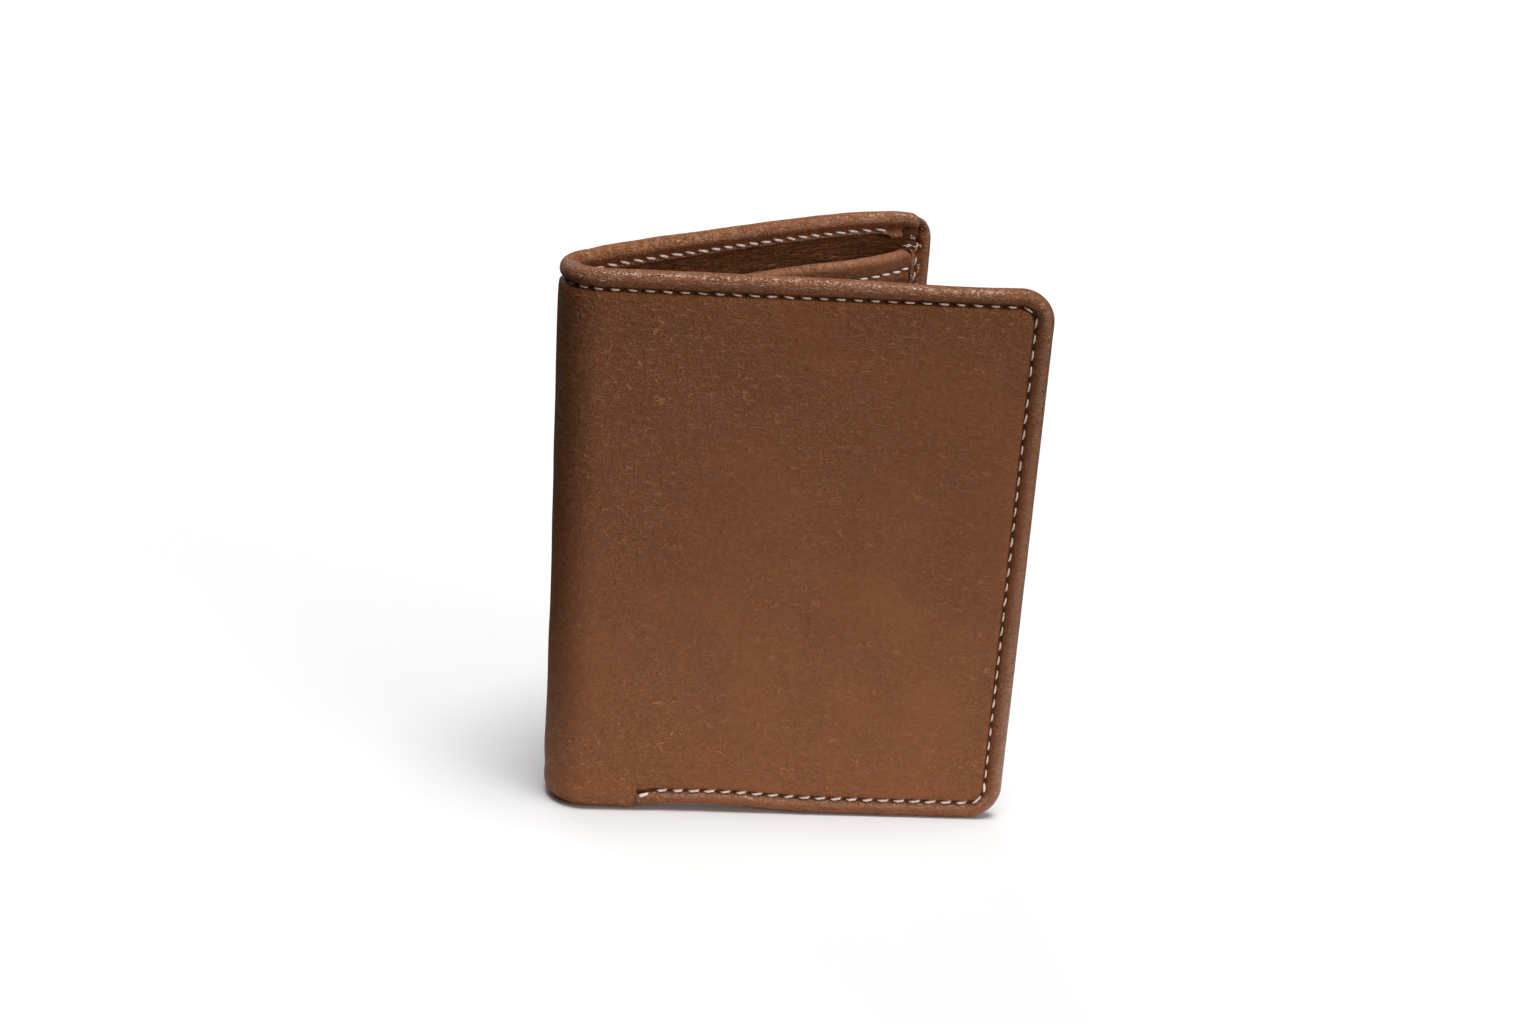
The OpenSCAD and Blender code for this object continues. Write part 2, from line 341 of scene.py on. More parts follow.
class Shader:
    """A small helper that adds nodes and joins them."""

    def __init__(self, name):
        self.mat = bpy.data.materials.new(name)
        self.mat.use_nodes = True
        self.tree = self.mat.node_tree
        self.bsdf = self.tree.nodes["Principled BSDF"]

    def add(self, kind, inputs=None, **props):
        node = self.tree.nodes.new("ShaderNode" + kind)
        for key, value in props.items():
            setattr(node, key, value)
        for key, value in (inputs or {}).items():
            self.put(node.inputs[key], value)
        return node

    def put(self, socket, value):
        if isinstance(value, bpy.types.NodeSocket):
            self.tree.links.new(value, socket)
        else:
            socket.default_value = value

    def math(self, operation, a, b=0.0, c=0.0, clamp=False):
        node = self.add("Math", {0: a, 1: b, 2: c}, operation=operation)
        node.use_clamp = clamp
        return node.outputs[0]

    def span(self, value, low, high, to_low=0.0, to_high=1.0):
        keys = {"Value": value, "From Min": low, "From Max": high,
                "To Min": to_low, "To Max": to_high}
        return self.add("MapRange", keys, interpolation_type="SMOOTHSTEP").outputs[0]

    def mix(self, factor, a, b, blend="MIX"):
        node = self.add("Mix", data_type="RGBA", blend_type=blend)
        self.put(node.inputs["Factor"], factor)
        self.put(node.inputs[6], a)
        self.put(node.inputs[7], b)
        return node.outputs[2]

    def mark(self, name):
        return self.add("Attribute", attribute_name=name).outputs["Fac"]

    def plan(self, scale=(1.0, 1.0, 1.0)):
        where = self.add("Attribute", attribute_name="flat").outputs["Vector"]
        return self.add(
            "VectorMath", {0: where, 1: scale}, operation="MULTIPLY"
        ).outputs[0]

    def noise(self, where, scale, detail=2.0, rough=0.5, distort=0.0):
        keys = {"Vector": where, "Scale": scale, "Detail": detail,
                "Roughness": rough, "Distortion": distort}
        return self.add("TexNoise", keys).outputs["Fac"]

    def cells(self, where, scale, feature="F1"):
        keys = {"Vector": where, "Scale": scale}
        return self.add("TexVoronoi", keys, feature=feature).outputs["Distance"]

    def bump(self, height, strength, distance_mm, normal=None):
        keys = {"Height": height, "Strength": strength, "Distance": distance_mm * MM}
        if normal is not None:
            keys["Normal"] = normal
        return self.add("Bump", keys).outputs[0]

    def warped(self, where, scale, amount):
        """Places pushed about by noise, so that a pattern laid on them looks natural."""
        push = self.add("TexNoise", {"Vector": where, "Scale": scale}).outputs["Color"]
        centred = self.add(
            "VectorMath", {0: push, 1: (0.5, 0.5, 0.5)}, operation="SUBTRACT"
        ).outputs[0]
        size = (amount, amount, amount)
        return self.add(
            "VectorMath", {0: centred, 1: size, 2: where}, operation="MULTIPLY_ADD"
        ).outputs[0]


def mottled(sh, plan, dark, light):
    """Colour that changes in broad blotches and in small specks."""
    blotch = sh.noise(plan, 0.055, 3.0, 0.55)
    speck = sh.noise(plan, 0.9, 3.0, 0.65)
    tone = sh.math("MULTIPLY_ADD", speck, 0.7, sh.math("MULTIPLY", blotch, 0.45))
    return sh.mix(sh.span(tone, 0.35, 0.8), dark, light)


def crease_lines(sh, plan):
    """A broken net of fine creases, clearest in patches and where it is marked."""
    bent = sh.warped(sh.plan((0.7, 1.2, 1.0)), 0.5, 0.9)
    wide = sh.span(sh.cells(bent, 0.72, "DISTANCE_TO_EDGE"), 0.0, 0.07, 1.0, 0.0)
    small = sh.span(sh.cells(bent, 1.6, "DISTANCE_TO_EDGE"), 0.0, 0.11, 0.7, 0.0)
    broken = sh.span(sh.noise(plan, 0.7, 2.0), 0.32, 0.55)
    patch = sh.span(sh.noise(plan, 0.05, 1.0), 0.3, 0.7, 0.15, 0.85)
    area = sh.math("ADD", sh.mark("crease"), patch, clamp=True)
    net = sh.math("MULTIPLY", sh.math("MAXIMUM", wide, small), broken)
    return sh.math("MULTIPLY", net, sh.math("MULTIPLY_ADD", area, 0.75, 0.1))


def leather(name, light, dark, line, worn_and_lit, shade_tone, rough, grain_mm, creases, wrinkle=0.0):
    """Pebbled leather: mottled colour, pale broken creases, fine cells, and scuffing that
    also carries a painted highlight; painted shade darkens the marked grooves and hollows.
    With a wrinkle it also has folds that run along s, with painted shade in their troughs."""
    sh = Shader(name)
    plan = sh.plan()
    lines = crease_lines(sh, plan)
    wear_and_sheen = sh.mark("wear_and_sheen")
    dabs = sh.span(sh.noise(sh.plan((0.6, 1.0, 1.0)), 1.8, 3.0, 0.7), 0.42, 0.72)
    rubbed_and_lit = sh.math("MULTIPLY", wear_and_sheen, sh.math("MULTIPLY_ADD", dabs, 0.6, 0.1), clamp=True)
    base = mottled(sh, plan, dark, light)
    base = sh.mix(sh.math("MULTIPLY", lines, creases), base, line)
    # Painted shade in the seam grooves, the open corner gap and the step.
    base = sh.mix(sh.math("MULTIPLY", sh.mark("painted_shade"), 0.7, clamp=True), base, shade_tone)
    # The pale tone laid here is scuffing together with a painted highlight on the rolls.
    base = sh.mix(rubbed_and_lit, base, worn_and_lit)
    gloss = sh.span(sh.noise(plan, 0.3, 3.0), 0.3, 0.7, rough - 0.05, rough + 0.07)
    pebble = sh.cells(sh.warped(plan, 1.1, 0.35), 1 / grain_mm, "SMOOTH_F1")
    normal = sh.bump(pebble, 0.8, 0.12)
    normal = sh.bump(sh.noise(plan, 1.6, 3.0, 0.65), 0.7, 0.16, normal)
    normal = sh.bump(lines, 1.0, 0.4, normal)
    if wrinkle:
        folds = sh.noise(sh.plan((0.15, 1.0, 1.0)), 1.5, 3.0, 0.6, 0.9)
        # Fold troughs are mixed towards the dark tone: painted shade.
        base = sh.mix(sh.span(folds, 0.44, 0.6), sh.mix(0.45, base, shade_tone), base)
        normal = sh.bump(folds, 1.0, wrinkle, normal)
    sh.put(sh.bsdf.inputs["Base Color"], base)
    sh.put(sh.bsdf.inputs["Roughness"], sh.math("MULTIPLY_ADD", wear_and_sheen, -0.25, gloss))
    sh.put(sh.bsdf.inputs["Specular IOR Level"], sh.math("MULTIPLY_ADD", wear_and_sheen, 0.7, 0.30))
    sh.put(sh.bsdf.inputs["Normal"], normal)
    return sh.mat


def thread_material():
    """Waxed thread: pale, a little dirty, with a fibrous surface."""
    sh = Shader("waxed_thread")
    plan = sh.plan()
    dirt = sh.span(sh.noise(plan, 0.8, 3.0), 0.35, 0.7)
    base = sh.mix(dirt, linear(250, 232, 220), linear(228, 198, 180))
    sh.put(sh.bsdf.inputs["Base Color"], base)
    sh.put(sh.bsdf.inputs["Roughness"], 0.42)
    sh.put(sh.bsdf.inputs["Normal"], sh.bump(sh.noise(plan, 9.0, 2.0), 0.5, 0.04))
    return sh.mat


def board_material():
    """Grey stiffener board with a fibrous surface."""
    sh = Shader("stiffener_board")
    fibre = sh.noise(sh.plan((1.0, 0.2, 1.0)), 2.4, 4.0, 0.7)
    sh.put(
        sh.bsdf.inputs["Base Color"],
        sh.mix(fibre, linear(150, 138, 120), linear(186, 174, 156)),
    )
    sh.put(sh.bsdf.inputs["Roughness"], 0.85)
    sh.put(sh.bsdf.inputs["Normal"], sh.bump(fibre, 0.4, 0.05))
    return sh.mat


OUTER = leather(
    "tan_outer_leather", light=linear(146, 85, 43), dark=linear(129, 72, 34),
    line=linear(198, 126, 70), worn_and_lit=linear(184, 136, 102), shade_tone=linear(58, 28, 12),
    rough=0.44, grain_mm=0.42, creases=0.75,
)
LINING = leather(
    "dark_lining_leather", light=linear(164, 98, 50), dark=linear(136, 76, 36),
    line=linear(160, 104, 62), worn_and_lit=linear(150, 104, 70), shade_tone=linear(50, 26, 12),
    rough=0.5, grain_mm=0.5, creases=0.4, wrinkle=1.2,
)
POCKET = leather(
    "tan_pocket_leather", light=linear(148, 92, 56), dark=linear(134, 81, 46),
    line=linear(170, 114, 74), worn_and_lit=linear(190, 148, 118), shade_tone=linear(64, 34, 16),
    rough=0.46, grain_mm=0.36, creases=0.35,
)
THREAD = thread_material()
BOARD = board_material()


# ---------------------------------------------------------------------------
# The outer leather: one skin round both halves and the spine, hemmed all round
# ---------------------------------------------------------------------------
# Distance from the edge and depth, in order round the section of a stitched hem:
# the face with its groove, then (after the turn round the edge) the flap with its
# groove and raw end, then the hidden side.
FACE_ROWS = [
    (7.3, 0.0), (6.4, -0.03), (5.6, -0.06), (5.0, 0.0), (4.6, 0.15), (4.35, 0.42),
    (4.15, 0.82), (3.95, 0.98), (3.7, 0.9), (3.5, 0.66), (3.2, 0.34), (2.8, 0.02),
    (2.3, -0.17),
]
FLAP_ROWS = [
    (2.3, 3.72), (2.8, 3.55), (3.3, 3.2), (3.65, 2.95), (3.9, 2.92), (4.1, 3.05),
    (4.35, 3.22), (4.6, 3.25), (4.78, 3.16), (4.85, 2.95), (4.78, 2.65), (4.6, 2.52),
    (4.2, 2.45),
]
BACK_ROWS = [
    (3.0, 2.5), (1.9, 2.62), (1.2, 2.2), (1.02, 1.75), (1.2, 1.3), (1.9, 0.9),
    (3.0, 1.15), (3.9, 1.6), (4.8, 1.3), (6.0, 1.05), (7.3, 1.0),
]


def turn_rows(middle, depth):
    """Half an ellipse round the edge, from the face to the flap."""
    angles = np.radians(np.arange(90, 271, 15))
    return [
        (middle + middle * math.cos(a), 1.75 - depth * math.sin(a)) for a in angles
    ]


HEM = np.array(FACE_ROWS + turn_rows(1.9, 1.96) + FLAP_ROWS + BACK_ROWS)

# The same rows at the foot of the spine, where the edge has no seam or groove.
PLAIN = np.array(
    [(d + 1.1 * smooth(d, 5.6, 2.3), -0.3 * smooth(d, 7.3, 4.0)) for d, _ in FACE_ROWS]
    + turn_rows(3.3, 2.05)
    + [(d + 1.1 * smooth(d, 4.6, 2.3), max(v, 3.3) if v > 2.9 else v)
       for d, v in FLAP_ROWS]
    + BACK_ROWS
)
OUTSIDE = len(FACE_ROWS) + 6  # rows before this one are on the outside


def spine_distance(s):
    """How far a plan position lies beyond the end of the bend, on either half."""
    return np.maximum(-s, s - BEND)


def hem_lift(s, z):
    """The stitched bottom hem draws the leather up beside the spine, less with height."""
    u = spine_distance(s)
    lift = np.interp(u, [10, 12, 14, 26, 33, 38, 46, 55, 64],
                     [0.45, 0.85, 1.25, 1.4, 1.25, 0.8, 0.25, 0.1, 0])
    lift = np.where(u > STEP_U, lift, 0.45 * smooth(u, STEP_U - 1.6, STEP_U))
    return lift * (1 - smooth(z, 0, 14))


def corner_direction(angle, power):
    """A rounded corner; a power above 2 makes it squarer."""
    c, s = math.cos(angle), math.sin(angle)
    size = (abs(c) ** power + abs(s) ** power) ** (-1 / power)
    return c * size, s * size


def rim_columns(along_s, along_z):
    """Each rim column's anchor, outward direction and distance along the seam,
    from the rear half's foot forwards and all the way round."""
    cols = []
    arc = CORNER_R - SEAM_D
    foot, head = along_z[0], along_z[-1]
    run = 0.0
    turns = 22

    def straight(points, direction, length):
        nonlocal run
        start = np.array(points[0])
        for p in points:
            t = run + np.linalg.norm(np.array(p) - start)
            cols.append((*p, *direction, t))
        run += length

    def corner(centre, first, power):
        nonlocal run
        for k in range(1, turns):
            angle = first + math.pi / 2 * k / turns
            t = run + arc * math.pi / 2 * k / turns
            cols.append((*centre, *corner_direction(angle, power), t))
        run += arc * math.pi / 2

    straight([(s, foot) for s in along_s], (0, -1), HIGH - LOW)
    corner((HIGH, foot), -math.pi / 2, 2.0)
    straight([(HIGH, z) for z in along_z], (1, 0), head - foot)
    corner((HIGH, head), 0.0, 2.0)
    straight([(s, head) for s in along_s[::-1]], (0, 1), HIGH - LOW)
    corner((LOW, head), math.pi / 2, 2.5)
    straight([(LOW, z) for z in along_z[::-1]], (-1, 0), head - foot)
    corner((LOW, foot), math.pi, 2.5)
    return np.array(cols)


def seam_phase(t):
    """1 where the thread passes through the leather, -1 halfway along a stitch."""
    start = BEND + SEAM_START - LOW
    return np.cos(2 * math.pi * (t - start) / PITCH)


def on_plain_foot(s, z):
    """The part of the bottom edge, at the foot of the spine, that isn't sewn."""
    return (z < CORNER_R) & (spine_distance(s) < STEP_U)


def seam_relief(v, d, t, sewn, inwards):
    """The thread pulls the leather in at each hole, and the rolled edge is uneven.
    Also gives how near each point is to the edge."""
    groove = bump_at(d, SEAM_D, 0.45)
    shoulder = bump_at(d, SEAM_D + 1.2, 0.6) + 0.8 * bump_at(d, SEAM_D - 1.0, 0.5)
    v = v + sewn * inwards * (0.15 * groove + 0.06 * shoulder) * seam_phase(t)
    roll = np.clip(1 - d / 3.6, 0, 1)
    v = v - inwards * roll * (0.10 * medium(t / 5.0, v / 9) + 0.06 * fine(t / 1.9, d))
    return v, roll


def spine_relief(s, z, v, outside):
    """The spine swells outwards, and the flap puckers inside the bend at the top."""
    v = v - 0.25 * (1 - smooth(spine_distance(s), 6, 16)) * bump_at(z, 5, 10)
    swell = bump_at(s, BEND * 0.42, BEND * 0.4)
    v = v - 0.45 * swell * smooth(z, 4, 12) * smooth(HEIGHT - z, 0, 4)
    bend = smooth(s, -3, 2) * (1 - smooth(s, BEND - 2, BEND + 3))
    inner = np.where(outside, 0.0, 1.0) * smooth(z, HEIGHT - 7, HEIGHT - 5)
    return v - 0.16 * bend * inner * np.sin(2 * math.pi * s / 1.9 + 2 * ripple(s / 2, 0))


def skin_shape(s, z, v, d, t, outside):
    """Everything that isn't flat about the outer leather."""
    sewn = np.where(on_plain_foot(s, z) | (d > 7.2), 0.0, 1.0)
    v, roll = seam_relief(v, d, t, sewn, np.where(outside, 1.0, -1.0))
    face = smooth(d, 3.5, 8.0) * np.where(outside, 1.0, 0.3)
    v = v - face * (0.28 * broad(s / 24 + 3, z / 27) + 0.09 * medium(s / 8, z / 9))
    v = spine_relief(s, z, v, outside)
    foot = (z < CORNER_R) * (1 - sewn) * (1 - smooth(spine_distance(s), 5, STEP_U))
    rounding = 0.8 * foot * (1 - smooth(v, 0.2, 1.8)) * (1 - smooth(d, 0, 4))
    dip = 0.55 * bump_at(s - BEND, 70, 17) * roll * smooth(z, HEIGHT - 8, HEIGHT - 3)
    return s, z + hem_lift(s, z) + rounding - dip, v


# Distances from the bend along the rear half.
GAP_START, GAP_END = 81.8, 86.1
TIP_U = 80.6


def rear_corner(s, z, v, d, outside):
    """Where the rear top and side hems meet: an open gap, given painted shade through its
    mask, a notch in the roll at its end and the curled tip of the top flap at its start."""
    u = -s
    gap = smooth(u, GAP_START, GAP_START + 1) * (1 - smooth(u, GAP_END - 0.8, GAP_END))
    gap = gap * smooth(z, HEIGHT - 9.2, HEIGHT - 7.8)
    gap = gap * (1 - smooth(z, HEIGHT - 4.0, HEIGHT - 2.9))
    slit = bump_at(u, GAP_END, 0.6) * smooth(z, HEIGHT - 6, HEIGHT - 4)
    hollow = np.where(outside, 0.0, np.clip(gap + slit, 0, 1))
    notch = bump_at(u, GAP_END + 0.1, 0.7) * smooth(z, HEIGHT - 4, HEIGHT - 1)
    tip = np.where(outside, 0.0, bump_at(u, TIP_U, 1.9) * smooth(d, 3.9, 4.8))
    tip = tip * smooth(z, HEIGHT - 7.5, HEIGHT - 6)
    v = np.where(hollow > 0, np.maximum(v - 2.0 * hollow, np.minimum(v, 1.5)), v)
    v = v + 0.5 * tip + np.where(outside, 0.3 * notch, 0.0)
    return s, z - 0.4 * notch - 0.8 * tip, v, hollow


def skin_plan(along_s, along_z):
    """The skin before it is shaped: a rim of columns across the hem, and a grid of
    points inside it on the face and on the hidden side. Gives each point's plan
    position, distance from the edge, distance along the seam and whether it is on
    the outside, and then the faces."""
    cols = rim_columns(along_s, along_z)
    count = len(cols)
    plain = (cols[:, 3] < -0.9) & (spine_distance(cols[:, 0]) < STEP_U)
    rows = np.where(plain[None, :, None], PLAIN[:, None, :], HEM[:, None, :])
    reach = (CORNER_R - rows[..., 0])[..., None]
    where = cols[None, :, :2] + cols[None, :, 2:4] * reach
    flat = np.concatenate([where, rows[..., 1:]], -1).reshape(-1, 3)
    d = rows[..., 0].reshape(-1)
    t = np.broadcast_to(cols[None, :, 4], rows.shape[:2]).reshape(-1)
    outside = np.repeat(np.arange(len(HEM)) < OUTSIDE, count)
    faces = [grid_faces(len(HEM), count, closed=True)]
    gs, gz = np.meshgrid(along_s, along_z, indexing="ij")
    for depth, is_face in ((0.0, True), (1.0, False)):
        quads = grid_faces(*gs.shape, start=len(flat))
        faces.append(quads[:, ::-1] if not is_face else quads)
        layer = np.stack([gs, gz, np.full_like(gs, depth)], -1).reshape(-1, 3)
        flat = np.concatenate([flat, layer])
        edge = np.minimum.reduce(
            [gs - LOW, HIGH - gs, gz - CORNER_R, HEIGHT - CORNER_R - gz]
        )
        d = np.concatenate([d, (edge + CORNER_R).reshape(-1)])
        t = np.concatenate([t, np.zeros(gs.size)])
        outside = np.concatenate([outside, np.full(gs.size, is_face)])
    first, faces = weld(flat, np.concatenate(faces))
    return flat[first], d[first], t[first], outside[first], faces


def skin_marks(s, z, d, outside, hollow):
    """Scuffed edges that also carry a painted highlight, a painted highlight on the bottom
    roll below the stitches, the flap's pale raw end, partly a painted highlight, creases
    beside the spine, and painted shade in the seam's groove, in the open corner and at the
    step in the bottom edge."""
    u = spine_distance(s)
    sewn = np.where(on_plain_foot(s, z), 0.0, 1.0)
    # Scuffed edges, partly a painted highlight along the rolls.
    edge = 0.55 * bump_at(d, 0.9, 1.2) * smooth(z, 1, 6)
    # A painted highlight on the bottom roll just below the stitches.
    bottom_roll = bump_at(d, 2.9, 0.5) * (1 - smooth(z, 5, 7)) * sewn
    # The flap's pale raw end, partly a painted highlight.
    raw_end = 0.8 * bump_at(d, 4.65, 0.4)
    above = bump_at(u, 4, 22) * smooth(z, 40, 112)
    below = 0.7 * bump_at(u, 9, 12) * bump_at(z, 14, 18)
    # Painted shade in the seam's groove and at the step in the bottom edge.
    groove = 0.7 * bump_at(d, SEAM_D, 0.34) * sewn
    step = np.where((np.abs(u - STEP_U) < 0.2) & (z < SEAM_D), 0.8, 0.0)
    return {
        "wear_and_sheen": edge + np.where(outside, bottom_roll, raw_end),
        "crease": np.clip(above + below, 0, 1),
        # The open corner gets painted shade too.
        "painted_shade": np.where(outside, groove, 1.4 * hollow) + step,
    }


def outer_skin():
    ledge = 0.12  # half the width of the step in the bottom edge
    stops = [LOW, -STEP_U - ledge, -STEP_U + ledge, 0.0, *CUTS, BEND,
             BEND + STEP_U - ledge, BEND + STEP_U + ledge, HIGH]
    along_s = joined(*[steps(a, b, GRID) for a, b in zip(stops, stops[1:])])
    along_z = steps(CORNER_R, HEIGHT - CORNER_R, GRID)
    flat, d, t, outside, faces = skin_plan(along_s, along_z)
    s, z, v = skin_shape(*flat.T, d, t, outside)
    s, z, v, hollow = rear_corner(s, z, v, d, outside)
    marks = skin_marks(flat[:, 0], flat[:, 1], d, outside, hollow)
    bending("outer_leather", "shell", flat, place(s, z, v), faces,
            OUTER, marks)


outer_skin()


# ---------------------------------------------------------------------------
# The lining, loose and creased behind the note compartment, and the boards
# ---------------------------------------------------------------------------
def lining():
    reach, half = WIDTH - 3.2, 0.2
    stops = [-reach, *CUTS, BEND + reach]
    s = joined(*[steps(a, b, 1.3) for a, b in zip(stops, stops[1:])])
    z = joined(steps(3.6, HEIGHT - 22, 1.2), steps(HEIGHT - 22, HEIGHT - 3.6, 0.45))

    def depth(gs, gz):
        free = smooth(spine_distance(gs), -8, 8) * smooth(HEIGHT - gz, 4.5, 8)
        free = free * smooth(WIDTH - spine_distance(gs), 4, 9) * smooth(gz, 4, 9)
        rows = ripple(gs / 11, gz / 1.5 + 2.2 * medium(gs / 14, gz / 9))
        return 1.95 + free * (0.2 * rows + 0.25 * broad(gs / 12, gz / 8))

    flat, faces = slab_data(s, z, lambda a, b: depth(a, b) - half,
                            lambda a, b: depth(a, b) + half)
    bending("lining_leather", "lining", flat,
            place(*flat.T), faces, LINING)


lining()


def ridden(piece, body, node):
    """The piece moves with a body and stands for a CAD node, which it hides."""
    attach(piece, body)
    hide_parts(node)
    return piece


def side_s(side, u):
    """Plan position at distance u beyond the bend, on the rear or the front half."""
    return -u if side == "rear" else BEND + u


def slab(name, s, z, v_outer, v_inner, material, bowed=True):
    """A closed sheet in one piece; on the rear half its s runs backwards."""
    flat, faces = slab_data(s, z, v_outer, v_inner)
    if s[-1] < s[0]:
        faces = [f[::-1] for f in faces]
    return new_mesh(name, place(*flat.T, bowed), faces, flat, material)


def board(side):
    margin = 4.8
    outer, inner = 1.45, 1.68
    s = side_s(side, steps(1.5, WIDTH - margin, 2.5))
    z = steps(margin, HEIGHT - margin, 4.0)
    piece = slab(
        f"{side}_stiffener_board", s, z,
        lambda a, b: np.full_like(a, outer), lambda a, b: np.full_like(a, inner), BOARD,
    )
    ridden(piece, f"{side}_half", f"{side}_board")


# ---------------------------------------------------------------------------
# The inside of each half: panel, its rolled facing and the card pockets
# ---------------------------------------------------------------------------
PANEL_V = 2.75


def panel_depth(side, u, z):
    """The middle of the panel: the rear one stands off to open the note pocket."""
    if side == "front":
        return np.full(np.broadcast(u, z).shape, PANEL_V)
    top = np.interp(
        u,
        [-3, 4, 12, 24, 36, 45, 53, 62, 70, 77, 80.5, 82.5, 84],
        [3.4, 5.0, 6.4, 7.4, 7.7, 7.1, 6.9, 7.4, 6.9, 5.6, 4.2, 3.0, 2.5],
    )
    open_up = smooth(z, 8, 70)
    return PANEL_V + (top - PANEL_V) * (0.15 + 0.85 * open_up)


def panel(side, start):
    """start is how far beyond the bend the panel begins; the rear one overlaps it."""
    u = steps(start, PANEL_END, 1.4)
    z = steps(PANEL_FOOT, PANEL_TOP - 4.0, 2.2)
    half = 0.32
    piece = slab(
        f"{side}_inner_panel", side_s(side, u), z,
        lambda a, b: panel_depth(side, spine_distance(a), b) - half,
        lambda a, b: panel_depth(side, spine_distance(a), b) + half,
        POCKET, bowed=False,
    )
    ridden(piece, f"{side}_half", f"{side}_panel")


def facing_section(radius):
    """A rolled top edge: depth from the panel's middle, and height from its top."""
    back = [(-0.45, -7.0), (-0.55, -5.0), (-0.8, -3.9), (-1.25, -3.0)]
    top = [
        (-radius * math.cos(a), radius * math.sin(a) - radius)
        for a in np.radians(np.arange(0, 181, 18))
    ]
    front = [(1.3, -2.9), (1.0, -3.7), (0.78, -4.15), (0.74, -4.45), (0.95, -4.8),
             (1.05, -5.4), (1.02, -6.0), (0.92, -6.35), (0.7, -6.45), (0.5, -6.3),
             (0.4, -7.0)]
    return np.array(back + top + front)


def facing(side, start, radius):
    """The section swept along the panel's top, rounded off at both ends."""
    u = steps(start, PANEL_END + 0.3, GRID)
    section = facing_section(radius)
    n, m = len(u), len(section)
    gu = np.repeat(u, m)
    depth, height = np.tile(section[:, 0], n), np.tile(section[:, 1], n)
    ends = np.clip(np.minimum(u - u[0], u[-1] - u) / 2.2, 0, 1)
    shrink = np.repeat(np.sqrt(np.clip(1 - (1 - ends) ** 2, 0.06, 1)), m)
    droop = 1.2 * smooth(gu, PANEL_END - 4.5, PANEL_END)
    swell = 1 + 0.06 * medium(gu / 6, 5.0) + 0.04 * fine(gu / 2.1, 1.0)
    holes = np.cos(2 * math.pi * (gu - 1.7) / PITCH)
    groove = bump_at(height, -FACING_SEAM, 0.6) * (depth > 0)
    z = PANEL_TOP + height * np.where(height > -3, shrink, 1.0)
    z = z - (1 - shrink) * 1.3 - droop
    v = panel_depth(side, gu, PANEL_TOP) + depth * shrink * swell - 0.12 * groove * holes
    s = side_s(side, gu)
    flat = np.stack([s, z, v], -1)
    faces = grid_faces(n, m, closed=True).tolist()
    faces += [list(range(m)), list(range((n - 1) * m, n * m))[::-1]]
    if side == "front":
        faces = [f[::-1] for f in faces]
    # A painted highlight with scuffing on the roll's top, and painted shade in the stitch
    # groove below it.
    marks = {"wear_and_sheen": bump_at(height, -0.3, 0.6) * 0.3,
             "painted_shade": bump_at(height, -4.35, 0.4) * (depth > 0)}
    plan = np.stack([s, PANEL_TOP + height * 1.2 + depth, v], -1)
    piece = new_mesh(f"{side}_rolled_facing", place(*flat.T, False), faces, plan,
                     POCKET, marks)
    ridden(piece, f"{side}_half", f"{side}_facing")


def pocket(side, start, number):
    """Card pockets step down the panel, each one in front of the last; the last
    one reaches the panel's foot."""
    mouth = PANEL_TOP - POCKET_STEP * number - 0.5
    foot = PANEL_FOOT if number == POCKETS else max(mouth - POCKET_DEPTH, PANEL_FOOT)
    u = steps(start + 2, PANEL_END, 1.4)
    z = joined(steps(foot, mouth - 1, 2.4), steps(mouth - 1, mouth, 0.2))
    lift, half = 0.2 + 0.42 * number, 0.18

    def edge(gz):
        return np.sqrt(np.clip(1 - smooth(gz, mouth - 0.5, mouth) ** 2, 0.05, 1))

    def middle(gs, gz):
        u_here = spine_distance(gs)
        sag = 0.10 * medium(u_here / 17 + number, gz / 15)
        return panel_depth(side, u_here, gz) + lift + sag

    piece = slab(
        f"{side}_card_pocket_{number}", side_s(side, u), z,
        lambda a, b: middle(a, b) - half * edge(b),
        lambda a, b: middle(a, b) + half * edge(b),
        POCKET, bowed=False,
    )
    ridden(piece, f"{side}_half", f"{side}_pocket_{number}")


for side, start, radius in (("rear", REAR_START, 1.6), ("front", FRONT_START, 1.1)):
    board(side)
    panel(side, start)
    facing(side, start, radius)
    for number in range(1, POCKETS + 1):
        pocket(side, start, number)


# ---------------------------------------------------------------------------
# Stitches
# ---------------------------------------------------------------------------
OUTER_THREAD_V, INNER_THREAD_V = 0.42, 3.25


